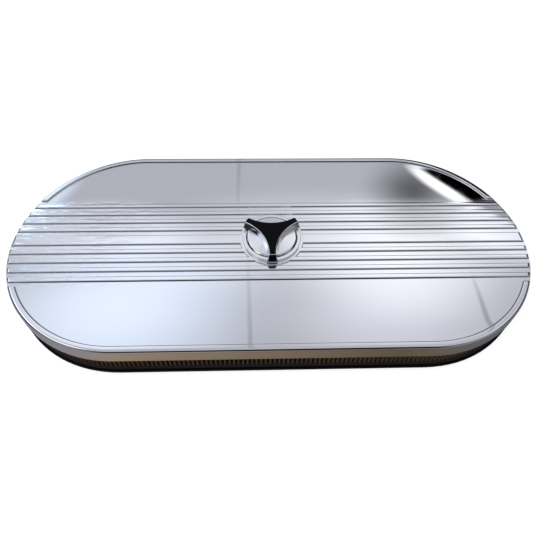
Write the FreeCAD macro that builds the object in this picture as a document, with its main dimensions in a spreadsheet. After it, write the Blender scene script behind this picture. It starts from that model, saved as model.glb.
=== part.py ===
import FreeCAD, Part
import math
import os
import Sketcher

# Low oval air cleaner for a carburetor: a plated cast lid with a band of
# lengthwise ribs, a pleated paper element, a pressed steel base pan and a
# three-bar nut on a short stud.  Millimetres, +Z up, +X along the oval.
# The origin is the middle of the gasket's underside, on which it stands.

SIZES = {
    # base pan, its neck and the gasket under it
    "pan_length": 381.0,
    "pan_width": 177.8,
    "pan_sheet": 1.2,
    "lip_height": 3.6,
    "pan_bend": 1.5,
    "neck_radius": 65.09,
    "neck_height": 8.4,
    "neck_bend": 1.6,
    "neck_turn_radius": 1.0,
    "gasket_thickness": 3.0,
    "gasket_width": 7.0,
    "gasket_clearance": 0.4,
    # lid
    "skirt_inset": 0.6,
    "skirt_draft": 0.6,
    "skirt_height": 11.9,
    "skirt_wall": 1.9,
    "plate_thickness": 2.6,
    "rim_height": 2.8,
    "rim_width": 4.8,
    "rim_radius": 2.0,
    "rim_inner_radius": 1.8,
    "rim_end_gap": 3.2,
    "rim_end_radius": 1.6,
    "band_edge_radius": 0.6,
    "strip_width": 8.8,
    "rib_width": 4.0,
    "rib_pitch": 7.8,
    "ribs_each_side": 4,
    "rib_height": 2.6,
    "rib_edge_radius": 1.0,
    "rib_end_radius": 2.2,
    "rib_end_inset": 0.5,
    "top_boss_radius": 23.4,
    "lower_boss_radius": 11.0,
    "lower_boss_depth": 3.0,
    "stud_hole_radius": 3.6,
    # filter element
    "element_height": 23.8,
    "seal_clearance": 0.35,
    "flange_clearance": 0.3,
    "top_seal_thickness": 3.0,
    "bottom_seal_thickness": 2.6,
    "seal_inner_cover": 0.8,
    "pleat_inset": 0.25,
    "pleat_depth": 17.0,
    "pleat_pitch": 3.0,
    "paper_thickness": 0.5,
    "screen_thickness": 0.8,
    "screen_gaps_around": 60,
    "screen_gap_rows": 2,
    "screen_gap_width": 9.0,
    "screen_gap_height": 6.0,
    # stud, nut and the washers under it
    "stud_radius": 3.175,
    "stud_shank_radius": 2.76,
    "stud_chamfer": 0.8,
    "stud_neck_gap": 2.1,
    "stud_end_length": 9.0,
    "stud_top_length": 10.0,
    "stud_tip_clearance": 0.4,
    "disc_radius": 21.4,
    "disc_thickness": 2.0,
    "disc_edge_radius": 1.0,
    "disc_recess_depth": 1.0,
    "washer_inner_radius": 6.9,
    "washer_outer_radius": 10.4,
    "washer_side_clearance": 0.2,
    "spigot_radius": 5.6,
    "spigot_clearance": 0.08,
    "swage_radius": 6.3,
    "swage_height": 0.7,
    "swage_clearance": 0.05,
    "nut_flange_radius": 19.0,
    "nut_flange_flat_radius": 15.2,
    "nut_flange_height": 1.6,
    "nut_flange_edge_height": 0.6,
    "bar_count": 3,
    "bar_reach": 21.3,
    "bar_width": 5.0,
    "bar_waist_radius": 7.9,
    "bar_height": 6.6,
    "bar_draft": 13.0,
    "bar_lift": 0.4,
    "bar_edge_radius": 0.6,
    "insert_outer_radius": 4.4,
    "insert_top_wall": 1.3,
    "thread_clearance": 0.05,
}

FULL_TURN = 360

document = FreeCAD.newDocument("air_cleaner")
sheet = document.addObject("Spreadsheet::Sheet", "sizes")
for row, (alias, number) in enumerate(SIZES.items(), start=1):
    sheet.set("A%d" % row, alias)
    sheet.set("B%d" % row, str(number))
    sheet.setAlias("B%d" % row, alias)
document.recompute()

# Heights in the stack, from the surface it stands on
PAN_UNDER = "sizes.gasket_thickness"
FLOOR_TOP = "(sizes.gasket_thickness + sizes.pan_sheet)"
ELEMENT_TOP = "(%s + sizes.element_height)" % FLOOR_TOP
PLATE_TOP = "(%s + sizes.plate_thickness)" % ELEMENT_TOP
RIM_TOP = "(%s + sizes.rim_height)" % PLATE_TOP
SKIRT_BOTTOM = "(%s - sizes.skirt_height)" % RIM_TOP
RIB_TOP = "(%s + sizes.rib_height)" % PLATE_TOP
DISC_TOP = "(%s + sizes.disc_thickness)" % RIB_TOP
NUT_TOP = "(%s + sizes.bar_lift + sizes.bar_height)" % DISC_TOP
RIB_FOOT = "(%s - sizes.plate_thickness / 2)" % PLATE_TOP
NECK_TOP = "(%s + sizes.neck_height)" % PAN_UNDER
SWAGE_BOTTOM = ("(%s + sizes.disc_recess_depth - sizes.swage_clearance - sizes.swage_height)"
                % RIB_TOP)
INSERT_TOP = "(%s - sizes.insert_top_wall)" % NUT_TOP
STUD_BOTTOM = "(%s + sizes.stud_neck_gap)" % NECK_TOP
STUD_TOP = "(%s - sizes.stud_tip_clearance)" % INSERT_TOP

# Half widths of the oval outlines.  Every outline is the pan's own, moved
# in by a distance, so all of them share the two end centres.
PAN_HALF = "(sizes.pan_width / 2)"
END_CENTRE = "((sizes.pan_length - sizes.pan_width) / 2)"
SKIRT_HALF = "(%s - sizes.skirt_inset)" % PAN_HALF
RIM_HALF = "(%s - sizes.skirt_draft)" % SKIRT_HALF
PANEL_HALF = "(%s - sizes.rim_width)" % RIM_HALF
WALL_HALF = "(%s - sizes.skirt_wall)" % SKIRT_HALF
SEAL_HALF = "(%s - sizes.seal_clearance)" % WALL_HALF
PLEAT_HALF = "(%s - sizes.pleat_inset)" % SEAL_HALF
PLEAT_INNER_HALF = "(%s - sizes.pleat_depth)" % PLEAT_HALF
SCREEN_INNER_HALF = "(%s - sizes.screen_thickness)" % PLEAT_INNER_HALF
SEAL_INNER_HALF = "(%s - sizes.seal_inner_cover)" % SCREEN_INNER_HALF
LIP_INNER_HALF = "(%s - sizes.pan_sheet)" % PAN_HALF
FLANGE_HALF = "(%s - sizes.flange_clearance)" % LIP_INNER_HALF

# Rows of the ribbed band, from the middle of the lid outwards
FIRST_RIB = "(sizes.strip_width / 2 + sizes.rib_pitch - sizes.rib_width / 2)"
BAND_HALF = "(%s + (sizes.ribs_each_side - 1) * sizes.rib_pitch + sizes.rib_width / 2)" % FIRST_RIB
RIM_END = "(%s + sizes.rim_end_gap)" % BAND_HALF

# A scoop between two bars is a circle through the corners of both, which
# comes within the waist radius of the nut's axis
CORNER_ANGLE = "(180 deg / sizes.bar_count - asin(sizes.bar_width / 2 / sizes.bar_reach))"
SCOOP_CENTRE = ("((sizes.bar_reach ^ 2 - sizes.bar_waist_radius ^ 2)"
                " / 2 / (sizes.bar_reach * cos(%s) - sizes.bar_waist_radius))" % CORNER_ANGLE)
SCOOP_RADIUS = "(%s - sizes.bar_waist_radius)" % SCOOP_CENTRE


def value(expression):
    """The number that an expression of the sheet's sizes gives."""
    return float(sheet.evalExpression(expression))


def new_body(name):
    body = document.addObject("PartDesign::Body", name + "_body")
    body.Label = name
    return body


def new_sketch(body, name, plane, height=None):
    """A sketch on one of the body's origin planes, lifted to a height."""
    sketch = body.newObject("Sketcher::SketchObject", name)
    support = next(f for f in body.Origin.OriginFeatures if f.Role == plane)
    sketch.AttachmentSupport = [(support, "")]
    sketch.MapMode = "FlatFace"
    if height is not None:
        sketch.setExpression("AttachmentOffset.Base.z", height)
    return sketch


def constrain(sketch, kind, arguments, expression, name):
    """Add a dimension and bind it to an expression."""
    index = sketch.addConstraint(Sketcher.Constraint(kind, *arguments, value(expression)))
    sketch.renameConstraint(index, name)
    sketch.setExpression("Constraints." + name, expression)


def draw_oval(sketch, half_width, name):
    """Two straight sides joined by half circles about the end centres."""
    w = value(half_width)
    c = value(END_CENTRE)
    normal = FreeCAD.Vector(0, 0, 1)
    quarter = math.pi / 2
    top = sketch.addGeometry(
        Part.LineSegment(FreeCAD.Vector(-c, w, 0), FreeCAD.Vector(c, w, 0)), False)
    bottom = sketch.addGeometry(
        Part.LineSegment(FreeCAD.Vector(-c, -w, 0), FreeCAD.Vector(c, -w, 0)), False)
    right_circle = Part.Circle(FreeCAD.Vector(c, 0, 0), normal, w)
    right = sketch.addGeometry(Part.ArcOfCircle(right_circle, -quarter, quarter), False)
    left_circle = Part.Circle(FreeCAD.Vector(-c, 0, 0), normal, w)
    left = sketch.addGeometry(Part.ArcOfCircle(left_circle, quarter, 3 * quarter), False)
    sketch.addConstraint([
        Sketcher.Constraint("Tangent", top, 2, right, 2),
        Sketcher.Constraint("Tangent", bottom, 2, right, 1),
        Sketcher.Constraint("Tangent", top, 1, left, 1),
        Sketcher.Constraint("Tangent", bottom, 1, left, 2),
        Sketcher.Constraint("Horizontal", top),
        Sketcher.Constraint("PointOnObject", right, 3, -1),
        Sketcher.Constraint("Symmetric", right, 3, left, 3, -1, 1),
    ])
    constrain(sketch, "Radius", (right,), half_width, name + "_radius")
    constrain(sketch, "DistanceX", (-1, 1, right, 3), END_CENTRE, name + "_centre")


def draw_outline(sketch, points, name):
    """A closed outline of straight lines through points given by expressions."""
    places = [FreeCAD.Vector(value(across), value(up), 0) for across, up in points]
    lines = []
    for index, start in enumerate(places):
        end = places[(index + 1) % len(places)]
        lines.append(sketch.addGeometry(Part.LineSegment(start, end), False))
    for index, line in enumerate(lines):
        following = lines[(index + 1) % len(lines)]
        sketch.addConstraint(Sketcher.Constraint("Coincident", line, 2, following, 1))
    for index, (across, up) in enumerate(points):
        line = lines[index]
        if value(across) == 0:
            sketch.addConstraint(Sketcher.Constraint("PointOnObject", line, 1, -2))
        else:
            constrain(sketch, "DistanceX", (-1, 1, line, 1), across, "%s_x%d" % (name, index))
        constrain(sketch, "DistanceY", (-1, 1, line, 1), up, "%s_y%d" % (name, index))


def draw_circle(sketch, radius, name):
    circle = Part.Circle(FreeCAD.Vector(0, 0, 0), FreeCAD.Vector(0, 0, 1), value(radius))
    index = sketch.addGeometry(circle, False)
    sketch.addConstraint(Sketcher.Constraint("Coincident", index, 3, -1, 1))
    constrain(sketch, "Radius", (index,), radius, name + "_radius")


def pad(body, name, sketch, length, reverse=False, taper=None):
    feature = body.newObject("PartDesign::Pad", name)
    feature.Profile = sketch
    feature.Reversed = reverse
    feature.setExpression("Length", length)
    if taper is not None:
        feature.setExpression("TaperAngle", taper)
    return feature


def pocket(body, name, sketch, length, reverse=False):
    feature = body.newObject("PartDesign::Pocket", name)
    feature.Profile = sketch
    feature.Reversed = reverse
    feature.setExpression("Length", length)
    return feature


def revolution(body, name, sketch):
    feature = body.newObject("PartDesign::Revolution", name)
    feature.Profile = sketch
    feature.ReferenceAxis = (sketch, ["V_Axis"])
    feature.Angle = FULL_TURN
    return feature


def fillet(body, name, base, radius, wanted):
    """Round the edges of the base feature for which wanted(edge) is true."""
    document.recompute()
    names = []
    for index, edge in enumerate(base.Shape.Edges, start=1):
        if wanted(edge):
            names.append("Edge%d" % index)
    if not names:
        raise RuntimeError("no edge to round for " + name)
    feature = body.newObject("PartDesign::Fillet", name)
    feature.Base = (base, names)
    feature.setExpression("Radius", radius)
    return feature


def flat_at(edge, height):
    """True for an edge that lies in the level plane at a height."""
    box = edge.BoundBox
    return abs(box.ZMin - height) < 1e-4 and abs(box.ZMax - height) < 1e-4


def oval_distance(point):
    """How far a point lies from the line between the two end centres."""
    beyond = max(abs(point.x) - value(END_CENTRE), 0.0)
    return math.hypot(beyond, point.y)


def middle_of(edge):
    first, last = edge.ParameterRange
    return edge.valueAt((first + last) / 2)


def make_base_pan():
    """Pressed steel pan: flat floor, turned-up lip and turned-up neck."""
    body = new_body("base_pan")
    floor = new_sketch(body, "pan_outline", "XY_Plane", PAN_UNDER)
    draw_oval(floor, PAN_HALF, "outer")
    blank = pad(body, "pan_blank", floor, "sizes.lip_height")
    inside = new_sketch(body, "pan_inside", "XY_Plane", FLOOR_TOP)
    draw_oval(inside, LIP_INNER_HALF, "inner")
    dished = pocket(body, "pan_dish", inside, "sizes.lip_height", reverse=True)
    rounded = fillet(body, "pan_edge", dished, "sizes.pan_bend",
                     lambda edge: flat_at(edge, value(PAN_UNDER)))
    hole = new_sketch(body, "neck_hole", "XY_Plane", PAN_UNDER)
    draw_circle(hole, "sizes.neck_radius + sizes.pan_sheet", "hole")
    opened = pocket(body, "neck_opening", hole, "sizes.pan_sheet", reverse=True)
    wall = new_sketch(body, "neck_wall", "XZ_Plane")
    inner = "sizes.neck_radius"
    outer = "(sizes.neck_radius + sizes.pan_sheet)"
    draw_outline(wall, [(inner, PAN_UNDER), (outer, PAN_UNDER), (outer, NECK_TOP),
                        (inner, NECK_TOP)], "wall")
    neck = revolution(body, "neck", wall)
    lower = fillet(body, "neck_turn", neck, "sizes.neck_turn_radius",
                   lambda edge: flat_at(edge, value(PAN_UNDER))
                   and abs(edge.BoundBox.XMax - value(inner)) < 1e-3)
    fillet(body, "neck_root", lower, "sizes.neck_bend",
           lambda edge: flat_at(edge, value(FLOOR_TOP))
           and abs(edge.BoundBox.XMax - value(outer)) < 1e-3)
    return body


def make_neck_gasket():
    """Flat rubber ring between the pan and the carburetor's shoulder."""
    body = new_body("neck_gasket")
    ring = new_sketch(body, "gasket_outline", "XY_Plane")
    inner = "(sizes.neck_radius + sizes.gasket_clearance)"
    draw_circle(ring, inner, "inner")
    draw_circle(ring, inner + " + sizes.gasket_width", "outer")
    pad(body, "gasket_ring", ring, "sizes.gasket_thickness")
    return body


def make_ribs():
    """The ribbed band: a wide strip between two rows of equal ribs.

    Each cross-section is drawn across the lid and run along it.  The ends
    are then cut to the oval with a rolled edge.
    """
    body = new_body("rib_rows")
    strip = new_sketch(body, "strip_section", "YZ_Plane")
    draw_outline(strip, rib_section("0", "sizes.strip_width"), "strip")
    strip_run = pad(body, "strip_run", strip, "sizes.pan_length")
    strip_run.Midplane = True
    rib = new_sketch(body, "rib_section", "YZ_Plane")
    draw_outline(rib, rib_section(FIRST_RIB, "sizes.rib_width"), "rib")
    rib_run = pad(body, "rib_run", rib, "sizes.pan_length")
    rib_run.Midplane = True
    rows = body.newObject("PartDesign::MultiTransform", "both_rows")
    rows.Originals = [rib_run]
    spread = body.newObject("PartDesign::LinearPattern", "row_spread")
    spread.Direction = (rib, ["H_Axis"])
    spread.setExpression("Length", "(sizes.ribs_each_side - 1) * sizes.rib_pitch")
    spread.setExpression("Occurrences", "sizes.ribs_each_side")
    mirror = body.newObject("PartDesign::Mirrored", "row_mirror")
    mirror.MirrorPlane = (rib, ["V_Axis"])
    rows.Transformations = [spread, mirror]
    body.Tip = rows
    fillet(body, "rib_edges", rows, "sizes.rib_edge_radius",
           lambda edge: flat_at(edge, value(RIB_TOP)) and edge.BoundBox.YLength < 1e-6)

    limit = new_body("band_limit")
    outline = new_sketch(limit, "band_outline", "XY_Plane", RIB_FOOT)
    draw_oval(outline, "(%s - sizes.rib_end_inset)" % RIM_HALF, "band")
    block = pad(limit, "band_block", outline, "%s - %s" % (RIB_TOP, RIB_FOOT))
    fillet(limit, "band_roll", block, "sizes.rib_end_radius",
           lambda edge: flat_at(edge, value(RIB_TOP)))
    band = document.addObject("Part::Common", "ribbed_band")
    band.Base = body
    band.Tool = limit
    return band


def rib_section(middle, width):
    """Four corners of a bar about a middle line, sunk into the lid's plate."""
    low = "(%s - %s / 2)" % (middle, width)
    high = "(%s + %s / 2)" % (middle, width)
    return [(low, RIB_FOOT), (high, RIB_FOOT), (high, RIB_TOP), (low, RIB_TOP)]


def draw_rim_gap(sketch):
    """Section of the break in the rim, with both of the rim's ends rolled."""
    end = value(RIM_END)
    floor = value(PLATE_TOP)
    top = value(RIM_TOP)
    r = value("sizes.rim_end_radius")
    normal = FreeCAD.Vector(0, 0, 1)
    corners = [(-end, floor), (end, floor), (end, top - r), (end + r, top),
               (-end - r, top), (-end, top - r)]
    points = [FreeCAD.Vector(across, up, 0) for across, up in corners]
    bottom = sketch.addGeometry(Part.LineSegment(points[0], points[1]), False)
    right_side = sketch.addGeometry(Part.LineSegment(points[1], points[2]), False)
    right_roll = sketch.addGeometry(Part.ArcOfCircle(
        Part.Circle(FreeCAD.Vector(end + r, top - r, 0), normal, r), math.pi / 2, math.pi), False)
    above = sketch.addGeometry(Part.LineSegment(points[3], points[4]), False)
    left_roll = sketch.addGeometry(Part.ArcOfCircle(
        Part.Circle(FreeCAD.Vector(-end - r, top - r, 0), normal, r), 0, math.pi / 2), False)
    left_side = sketch.addGeometry(Part.LineSegment(points[5], points[0]), False)
    sketch.addConstraint([
        Sketcher.Constraint("Coincident", bottom, 2, right_side, 1),
        Sketcher.Constraint("Tangent", right_side, 2, right_roll, 2),
        Sketcher.Constraint("Tangent", right_roll, 1, above, 1),
        Sketcher.Constraint("Tangent", above, 2, left_roll, 2),
        Sketcher.Constraint("Tangent", left_roll, 1, left_side, 1),
        Sketcher.Constraint("Coincident", left_side, 2, bottom, 1),
        Sketcher.Constraint("Horizontal", above),
        Sketcher.Constraint("Symmetric", bottom, 1, bottom, 2, -2),
        Sketcher.Constraint("Equal", left_roll, right_roll),
        Sketcher.Constraint("Vertical", right_side),
        Sketcher.Constraint("Vertical", left_side),
    ])
    constrain(sketch, "DistanceX", (-1, 1, bottom, 2), RIM_END, "gap_end")
    constrain(sketch, "DistanceY", (-1, 1, bottom, 1), PLATE_TOP, "gap_floor")
    constrain(sketch, "DistanceY", (-1, 1, above, 1), RIM_TOP, "gap_top")
    constrain(sketch, "Radius", (right_roll,), "sizes.rim_end_radius", "gap_roll")


def make_lid():
    """Cast lid: drafted skirt, raised rim round sunk panels, ribbed band."""
    body = new_body("lid_shell")
    outline = new_sketch(body, "skirt_outline", "XY_Plane", SKIRT_BOTTOM)
    draw_oval(outline, SKIRT_HALF, "skirt")
    blank = pad(body, "lid_blank", outline, "sizes.skirt_height",
                taper="-atan(sizes.skirt_draft / sizes.skirt_height)")
    rolled = fillet(body, "rim_roll", blank, "sizes.rim_radius",
                    lambda edge: flat_at(edge, value(RIM_TOP)))
    panel = new_sketch(body, "panel_outline", "XY_Plane", PLATE_TOP)
    draw_oval(panel, PANEL_HALF, "panel")
    sunk = pocket(body, "panel_sink", panel, "sizes.rim_height", reverse=True)
    gap = new_sketch(body, "rim_gap", "YZ_Plane")
    draw_rim_gap(gap)
    cleared = pocket(body, "rim_break", gap, "sizes.pan_length")
    cleared.Midplane = True
    softened = fillet(body, "rim_inner_edge", cleared, "sizes.rim_inner_radius",
                      lambda edge: flat_at(edge, value(RIM_TOP))
                      and oval_distance(middle_of(edge)) < value(PANEL_HALF) + 1e-3)
    fillet(body, "band_edge", softened, "sizes.band_edge_radius",
           lambda edge: flat_at(edge, value(PLATE_TOP))
           and oval_distance(middle_of(edge)) > value(RIM_HALF))
    cavity = new_sketch(body, "cavity_outline", "XY_Plane", SKIRT_BOTTOM)
    draw_oval(cavity, WALL_HALF, "cavity")
    hollow = pocket(body, "cavity", cavity, "%s - %s" % (ELEMENT_TOP, SKIRT_BOTTOM), reverse=True)
    lower = new_sketch(body, "lower_boss_outline", "XY_Plane", ELEMENT_TOP)
    draw_circle(lower, "sizes.lower_boss_radius", "boss")
    pad(body, "lower_boss", lower, "sizes.lower_boss_depth", reverse=True)
    upper = new_sketch(body, "top_boss_outline", "XY_Plane", PLATE_TOP)
    draw_circle(upper, "sizes.top_boss_radius", "boss")
    pad(body, "top_boss", upper, "sizes.rib_height")

    joined = document.addObject("Part::Fuse", "lid_and_band")
    joined.Base = body
    joined.Tool = make_ribs()
    joined.Refine = True
    bore = document.addObject("Part::Cylinder", "stud_hole")
    bore.setExpression("Radius", "sizes.stud_hole_radius")
    bore.setExpression("Height", RIM_TOP)
    lid = document.addObject("Part::Cut", "lid_finished")
    lid.Label = "lid"
    lid.Base = joined
    lid.Tool = bore
    return lid


def make_seal(name, low, outer_half, thickness):
    """A flat moulded rubber oval that caps the pleats at one end."""
    body = new_body(name)
    ring = new_sketch(body, name + "_outline", "XY_Plane", low)
    draw_oval(ring, outer_half, "outer")
    draw_oval(ring, SEAL_INNER_HALF, "inner")
    pad(body, name + "_ring", ring, thickness)
    return body


def round_the_oval(share):
    """Foot point and outward direction at a share of the way round the pleats.

    The way runs at the pleats' outer line: along one straight side, round
    an end, back along the other side and round the other end.
    """
    centre = value(END_CENTRE)
    half = value(PLEAT_HALF)
    straight = 2 * centre
    bend = math.pi * half
    travel = share * 2 * (straight + bend)
    flipped = travel >= straight + bend
    if flipped:
        travel -= straight + bend
    if travel < straight:
        foot = FreeCAD.Vector(-centre + travel, 0, 0)
        outward = FreeCAD.Vector(0, -1, 0)
    else:
        angle = (travel - straight) / half - math.pi / 2
        foot = FreeCAD.Vector(centre, 0, 0)
        outward = FreeCAD.Vector(math.cos(angle), math.sin(angle), 0)
    if flipped:
        return -foot, -outward
    return foot, outward


def zigzag(count, tip_half, valley_half, height):
    """A closed zigzag wire of count pleats between two oval lines."""
    points = []
    for index in range(2 * count):
        foot, outward = round_the_oval(index / (2 * count))
        reach = tip_half if index % 2 == 0 else valley_half
        points.append(foot + outward * reach + FreeCAD.Vector(0, 0, height))
    return Part.makePolygon(points + points[:1])


def add_shape(name, shape):
    feature = document.addObject("Part::Feature", name)
    feature.Label = name
    feature.Shape = shape
    feature.Placement = FreeCAD.Placement()
    return feature


def make_pleats():
    """One paper strip folded into upright pleats all the way round.

    Its two faces are equal zigzags, shifted along the folds by as much as
    the paper's thickness asks of flanks at their slant.
    """
    depth = value("sizes.pleat_depth")
    paper = value("sizes.paper_thickness")
    length = 2 * (2 * value(END_CENTRE) + math.pi * value(PLEAT_HALF))
    count = round(length / value("sizes.pleat_pitch"))
    step = length / count / 2
    slack = step ** 2 - paper ** 2
    shift = paper * (math.sqrt((paper * depth) ** 2 + slack * (step ** 2 + depth ** 2))
                     - paper * depth) / slack
    low = value(FLOOR_TOP + " + sizes.bottom_seal_thickness")
    high = value(ELEMENT_TOP + " - sizes.top_seal_thickness")
    outer = value(PLEAT_HALF)
    inner = value(PLEAT_INNER_HALF)
    outside = zigzag(count, outer, inner + shift, low)
    inside = zigzag(count, outer - shift, inner, low)
    folded = Part.makeFace([outside, inside], "Part::FaceMakerBullseye")
    return add_shape("filter_pleats", folded.extrude(FreeCAD.Vector(0, 0, high - low)))


def make_inner_screen():
    """Expanded metal wall inside the pleats, with rows of diamond gaps.

    Each gap's cutter starts one sheet inside the wall and ends one outside.
    """
    body = new_body("screen_wall")
    low = "(%s + sizes.bottom_seal_thickness)" % FLOOR_TOP
    high = "(%s - sizes.top_seal_thickness)" % ELEMENT_TOP
    ring = new_sketch(body, "screen_outline", "XY_Plane", low)
    draw_oval(ring, PLEAT_INNER_HALF, "outer")
    draw_oval(ring, SCREEN_INNER_HALF, "inner")
    pad(body, "screen_ring", ring, "%s - %s" % (high, low))
    document.recompute()
    around = int(value("sizes.screen_gaps_around"))
    rows = int(value("sizes.screen_gap_rows"))
    half_wide = value("sizes.screen_gap_width / 2")
    half_high = value("sizes.screen_gap_height / 2")
    spacing = value("(%s - %s)" % (high, low)) / rows
    start_half = value("%s - sizes.screen_thickness" % SCREEN_INNER_HALF)
    wall_and_spare = value("3 * sizes.screen_thickness")
    gaps = []
    for row in range(rows):
        middle = value(low) + (row + 0.5) * spacing
        stagger = 0.5 * (row % 2)
        for index in range(around):
            foot, outward = round_the_oval((index + stagger) / around)
            along = FreeCAD.Vector(-outward.y, outward.x, 0)
            centre = foot + outward * start_half + FreeCAD.Vector(0, 0, middle)
            up = FreeCAD.Vector(0, 0, half_high)
            corners = [centre + along * half_wide, centre + up,
                       centre - along * half_wide, centre - up]
            diamond = Part.Face(Part.makePolygon(corners + corners[:1]))
            gaps.append(diamond.extrude(outward * wall_and_spare))
    wall = body.Shape.cut(Part.makeCompound(gaps))
    return add_shape("filter_inner_screen", wall.Solids[0])


def make_stud():
    """Short stud: full thread at both ends, shank at the rolled diameter."""
    body = new_body("center_stud")
    profile = new_sketch(body, "stud_profile", "XZ_Plane")
    radius = "sizes.stud_radius"
    shank = "sizes.stud_shank_radius"
    nose = "(sizes.stud_radius - sizes.stud_chamfer)"
    end_top = "(%s + sizes.stud_end_length)" % STUD_BOTTOM
    top_start = "(%s - sizes.stud_top_length)" % STUD_TOP
    draw_outline(profile, [
        ("0", STUD_BOTTOM),
        (nose, STUD_BOTTOM),
        (radius, "(%s + sizes.stud_chamfer)" % STUD_BOTTOM),
        (radius, end_top),
        (shank, "(%s + sizes.stud_radius - sizes.stud_shank_radius)" % end_top),
        (shank, "(%s - sizes.stud_radius + sizes.stud_shank_radius)" % top_start),
        (radius, top_start),
        (radius, "(%s - sizes.stud_chamfer)" % STUD_TOP),
        (nose, STUD_TOP),
        ("0", STUD_TOP),
    ], "stud")
    revolution(body, "stud_turned", profile)
    return body


def make_nut_disc():
    """Plated disc under the nut, with a recess for its rubber washer."""
    body = new_body("nut_disc")
    profile = new_sketch(body, "disc_profile", "XZ_Plane")
    hole = "(sizes.spigot_radius + sizes.spigot_clearance)"
    recess = "(sizes.washer_outer_radius + sizes.washer_side_clearance)"
    web = "(%s + sizes.disc_recess_depth)" % RIB_TOP
    draw_outline(profile, [
        (recess, RIB_TOP),
        ("sizes.disc_radius", RIB_TOP),
        ("sizes.disc_radius", DISC_TOP),
        (hole, DISC_TOP),
        (hole, web),
        (recess, web),
    ], "disc")
    turned = revolution(body, "disc_turned", profile)
    fillet(body, "disc_edge", turned, "sizes.disc_edge_radius",
           lambda edge: flat_at(edge, value(DISC_TOP))
           and abs(edge.BoundBox.XMax - value("sizes.disc_radius")) < 1e-3)
    return body


def make_nut_washer():
    """Rubber washer that seals the stud hole, flush in the disc's recess."""
    body = new_body("nut_washer")
    ring = new_sketch(body, "washer_outline", "XY_Plane", RIB_TOP)
    draw_circle(ring, "sizes.washer_inner_radius", "inner")
    draw_circle(ring, "sizes.washer_outer_radius", "outer")
    pad(body, "washer_ring", ring, "sizes.disc_recess_depth")
    return body


def make_wing_nut():
    """Three-bar nut: a drafted blank with a scoop between each two bars.

    It stands on a round flange that falls off as a cone towards its edge.
    Below the flange a spigot passes through the disc and is swaged under it.
    """
    body = new_body("wing_nut")
    blank_outline = new_sketch(body, "bar_outline", "XY_Plane", NUT_TOP)
    draw_circle(blank_outline, "sizes.bar_reach", "reach")
    pad(body, "bar_blank", blank_outline, "sizes.bar_height", reverse=True,
        taper="sizes.bar_draft")
    scoop_outline = new_sketch(body, "scoop_outline", "XY_Plane", NUT_TOP)
    circle = Part.Circle(FreeCAD.Vector(0, value(SCOOP_CENTRE), 0),
                         FreeCAD.Vector(0, 0, 1), value(SCOOP_RADIUS))
    index = scoop_outline.addGeometry(circle, False)
    scoop_outline.addConstraint(Sketcher.Constraint("PointOnObject", index, 3, -2))
    constrain(scoop_outline, "Radius", (index,), SCOOP_RADIUS, "scoop_radius")
    constrain(scoop_outline, "DistanceY", (-1, 1, index, 3), SCOOP_CENTRE, "scoop_centre")
    scoop = pocket(body, "scoop", scoop_outline, "sizes.bar_height")
    scoop.setExpression("TaperAngle", "-sizes.bar_draft")
    scoops = body.newObject("PartDesign::PolarPattern", "scoops")
    scoops.Originals = [scoop]
    scoops.Axis = (scoop_outline, ["N_Axis"])
    scoops.Angle = FULL_TURN
    scoops.setExpression("Occurrences", "sizes.bar_count")
    body.Tip = scoops
    fillet(body, "bar_edges", scoops, "sizes.bar_edge_radius",
           lambda edge: flat_at(edge, value(NUT_TOP)))
    profile = new_sketch(body, "flange_profile", "XZ_Plane")
    swage_top = "(%s + sizes.disc_recess_depth - sizes.swage_clearance)" % RIB_TOP
    edge_top = "(%s + sizes.nut_flange_edge_height)" % DISC_TOP
    flange_top = "(%s + sizes.nut_flange_height)" % DISC_TOP
    draw_outline(profile, [
        ("0", SWAGE_BOTTOM),
        ("sizes.swage_radius", SWAGE_BOTTOM),
        ("sizes.swage_radius", swage_top),
        ("sizes.spigot_radius", swage_top),
        ("sizes.spigot_radius", DISC_TOP),
        ("sizes.nut_flange_radius", DISC_TOP),
        ("sizes.nut_flange_radius", edge_top),
        ("sizes.nut_flange_flat_radius", flange_top),
        ("0", flange_top),
    ], "flange")
    revolution(body, "flange", profile)
    bore_outline = new_sketch(body, "bore_outline", "XY_Plane", SWAGE_BOTTOM)
    draw_circle(bore_outline, "sizes.insert_outer_radius", "bore")
    pocket(body, "insert_bore", bore_outline, "%s - %s" % (INSERT_TOP, SWAGE_BOTTOM), reverse=True)
    return body


def make_nut_insert():
    """Steel bush with the thread, held in the nut's bore."""
    body = new_body("nut_insert")
    ring = new_sketch(body, "insert_outline", "XY_Plane", SWAGE_BOTTOM)
    draw_circle(ring, "sizes.stud_radius + sizes.thread_clearance", "inner")
    draw_circle(ring, "sizes.insert_outer_radius", "outer")
    pad(body, "insert_ring", ring, "%s - %s" % (INSERT_TOP, SWAGE_BOTTOM))
    return body


sub_parts = [
    make_base_pan(),
    make_neck_gasket(),
    make_seal("filter_bottom_seal", FLOOR_TOP, FLANGE_HALF, "sizes.bottom_seal_thickness"),
    make_seal("filter_top_seal", "(%s - sizes.top_seal_thickness)" % ELEMENT_TOP,
              SEAL_HALF, "sizes.top_seal_thickness"),
    make_pleats(),
    make_inner_screen(),
    make_lid(),
    make_stud(),
    make_nut_disc(),
    make_nut_washer(),
    make_wing_nut(),
    make_nut_insert(),
]
document.recompute()

for item in document.Objects:
    if "Invalid" in item.State or "Error" in item.State:
        raise RuntimeError("%s did not compute: %s" % (item.Name, item.State))
for part in sub_parts:
    if part.Shape.isNull() or not part.Shape.isValid():
        raise RuntimeError("%s has no valid shape" % part.Label)

os.makedirs("parts", exist_ok=True)
for part in sub_parts:
    part.Shape.exportStep("parts/%s.step" % part.Label)
    box = part.Shape.BoundBox
    print("%-20s solids %d  faces %4d  volume %9.1f mm3  z %.2f to %.2f  x %.1f  y %.1f" % (
        part.Label, len(part.Shape.Solids), len(part.Shape.Faces), part.Shape.Volume,
        box.ZMin, box.ZMax, box.XLength, box.YLength))
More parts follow.
